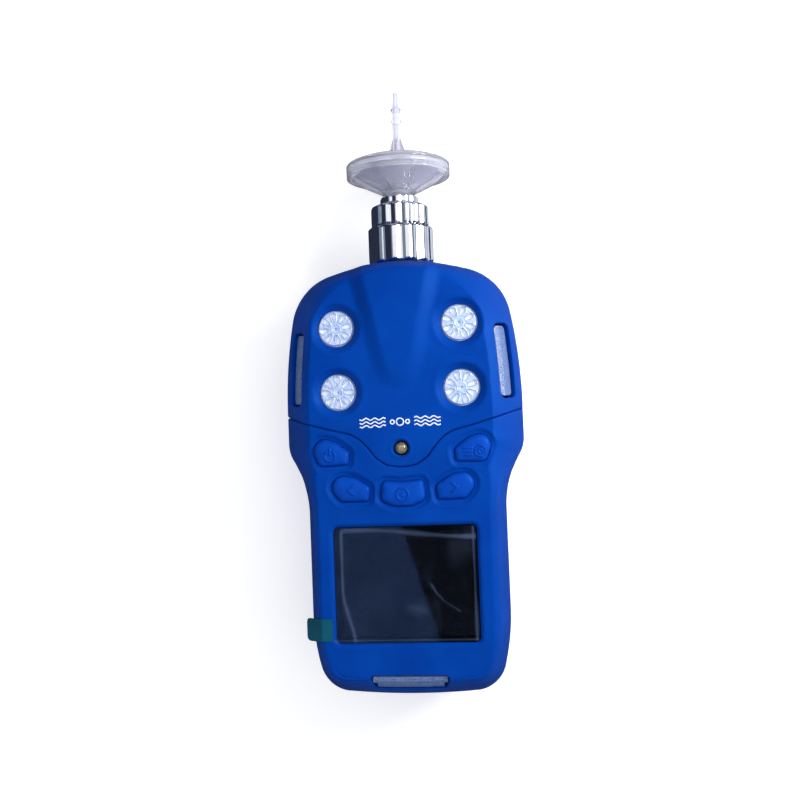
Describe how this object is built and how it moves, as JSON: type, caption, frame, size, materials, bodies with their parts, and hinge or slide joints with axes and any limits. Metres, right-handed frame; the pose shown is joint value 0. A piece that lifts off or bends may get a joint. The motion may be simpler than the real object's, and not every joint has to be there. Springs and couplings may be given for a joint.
{
  "type": "portable gas detector",
  "caption": "Hand-held pumped gas detector: moulded case with sensor grilles, keys, display window, alarm lights, fluted gas inlet, clear disc filter and belt clip.",
  "frame": {"origin": "bottom centre of the box round the object as it lies on its back, on its belt clip", "axes": "+Z out of the front face with the display, +Y towards the gas inlet, +X to the right of someone facing the front"},
  "size_m": [0.0778, 0.2008, 0.0476],
  "materials": {
    "case_blue": "satin soft-touch moulded plastic",
    "key_blue": "matt moulded silicone",
    "gasket_rubber": "matt",
    "silicone": "translucent satin",
    "grille_white": "silvery white",
    "membrane_white": "matt",
    "sensor_body": "moulded",
    "light_diffuser": "ribbed translucent",
    "status_lens": "clear dome",
    "window_glass": "gloss",
    "film_clear": "clear protective film",
    "tab_teal": "gloss film",
    "lcd_dark": "gloss",
    "black_plastic": "moulded",
    "board_green": "solder mask",
    "cell_sleeve": "shrink sleeve",
    "motor_steel": "drawn",
    "turned_brass": "turned",
    "inlet_chrome": "polished plating",
    "filter_clear": "clear moulded plastic",
    "clip_steel": "stamped stainless",
    "screw_steel": "zinc plated"
  },
  "bodies": {
    "root": {"alarm_leds": "status_lens", "battery_cells": "cell_sleeve", "battery_holder": "black_plastic", "board_screws": "screw_steel", "bottom_light": "light_diffuser", "buzzer": "black_plastic", "case_gasket": "gasket_rubber", "case_screws": "screw_steel", "charge_board": "board_green", "charge_socket": "motor_steel", "clip_bracket": "clip_steel", "clip_pin": "clip_steel", "clip_screws": "screw_steel", "clip_spring": "clip_steel", "film_tab": "tab_teal", "filter_socket": "inlet_chrome", "front_cover": "case_blue", "gas_sensor_1": "sensor_body", "gas_sensor_2": "sensor_body", "gas_sensor_3": "sensor_body", "gas_sensor_4": "sensor_body", "inlet_spigot": "inlet_chrome", "inlet_washer": "gasket_rubber", "key_switches": "black_plastic", "keypad_mat": "silicone", "lcd_frame": "black_plastic", "lcd_module": "lcd_dark", "main_board": "board_green", "pump_head": "black_plastic", "pump_inlet_tube": "silicone", "pump_motor": "motor_steel", "pump_outlet_tube": "silicone", "rear_cover": "case_blue", "screen_film": "film_clear", "screen_window": "window_glass", "sensor_board": "board_green", "sensor_cover": "case_blue", "sensor_grille_1": "grille_white", "sensor_grille_2": "grille_white", "sensor_grille_3": "grille_white", "sensor_grille_4": "grille_white", "sensor_membranes": "membrane_white", "side_light_left": "light_diffuser", "side_light_right": "light_diffuser", "status_led": "status_lens", "vibration_motor": "motor_steel"},
    "button_power": {"button_power": "key_blue"},
    "button_light": {"button_light": "key_blue"},
    "button_left": {"button_left": "key_blue"},
    "button_right": {"button_right": "key_blue"},
    "button_ok": {"button_ok": "key_blue"},
    "belt_clip": {"belt_clip": "clip_steel"},
    "inlet_nut": {"inlet_nut": "inlet_chrome"},
    "collet_ring": {"collet_ring": "inlet_chrome"},
    "filter": {"filter_base": "filter_clear", "filter_membrane": "membrane_white", "filter_cap": "filter_clear"},
    "port_cover": {"port_cover": "gasket_rubber"},
    "pump_crank": {"pump_crank": "turned_brass"},
    "vibration_weight": {"vibration_weight": "turned_brass"}
  },
  "joints": [
    {"name": "press_power", "type": "slide", "parent": "root", "child": "button_power", "axis": [0, 0, -1], "range_m": [0, 0.0006], "stiffness_N_per_m": 2500, "springref_m": -0.0004},
    {"name": "press_light", "type": "slide", "parent": "root", "child": "button_light", "axis": [0, 0, -1], "range_m": [0, 0.0006], "stiffness_N_per_m": 2500, "springref_m": -0.0004},
    {"name": "press_left", "type": "slide", "parent": "root", "child": "button_left", "axis": [0, 0, -1], "range_m": [0, 0.0006], "stiffness_N_per_m": 2500, "springref_m": -0.0004},
    {"name": "press_right", "type": "slide", "parent": "root", "child": "button_right", "axis": [0, 0, -1], "range_m": [0, 0.0006], "stiffness_N_per_m": 2500, "springref_m": -0.0004},
    {"name": "press_ok", "type": "slide", "parent": "root", "child": "button_ok", "axis": [0, 0, -1], "range_m": [0, 0.0006], "stiffness_N_per_m": 2500, "springref_m": -0.0004},
    {"name": "clip_hinge", "type": "hinge", "parent": "root", "child": "belt_clip", "pos_m": [0, 0.006, 0.005], "axis": [1, 0, 0], "range_deg": [0, 15], "stiffness_Nm_per_rad": 1.5, "springref_deg": -20.05},
    {"name": "nut_turn", "type": "hinge", "parent": "root", "child": "inlet_nut", "pos_m": [0, 0.0467, 0.025], "axis": [0, 1, 0], "range_deg": [0, 360]},
    {"name": "collet_turn", "type": "hinge", "parent": "root", "child": "collet_ring", "pos_m": [0, 0.0567, 0.025], "axis": [0, 1, 0], "range_deg": [0, 90]},
    {"name": "filter_pull", "type": "slide", "parent": "root", "child": "filter", "axis": [0, 1, 0], "range_m": [0, 0.012]},
    {"name": "port_hinge", "type": "hinge", "parent": "root", "child": "port_cover", "pos_m": [0, -0.10015, 0.0211], "axis": [1, 0, 0], "range_deg": [0, 110]},
    {"name": "crank_spin", "type": "hinge", "parent": "root", "child": "pump_crank", "pos_m": [0, 0.008, 0.02], "axis": [0, 1, 0], "continuous": true},
    {"name": "weight_spin", "type": "hinge", "parent": "root", "child": "vibration_weight", "pos_m": [-0.024, -0.066, 0.0323], "axis": [0, 1, 0], "continuous": true}
  ]
}
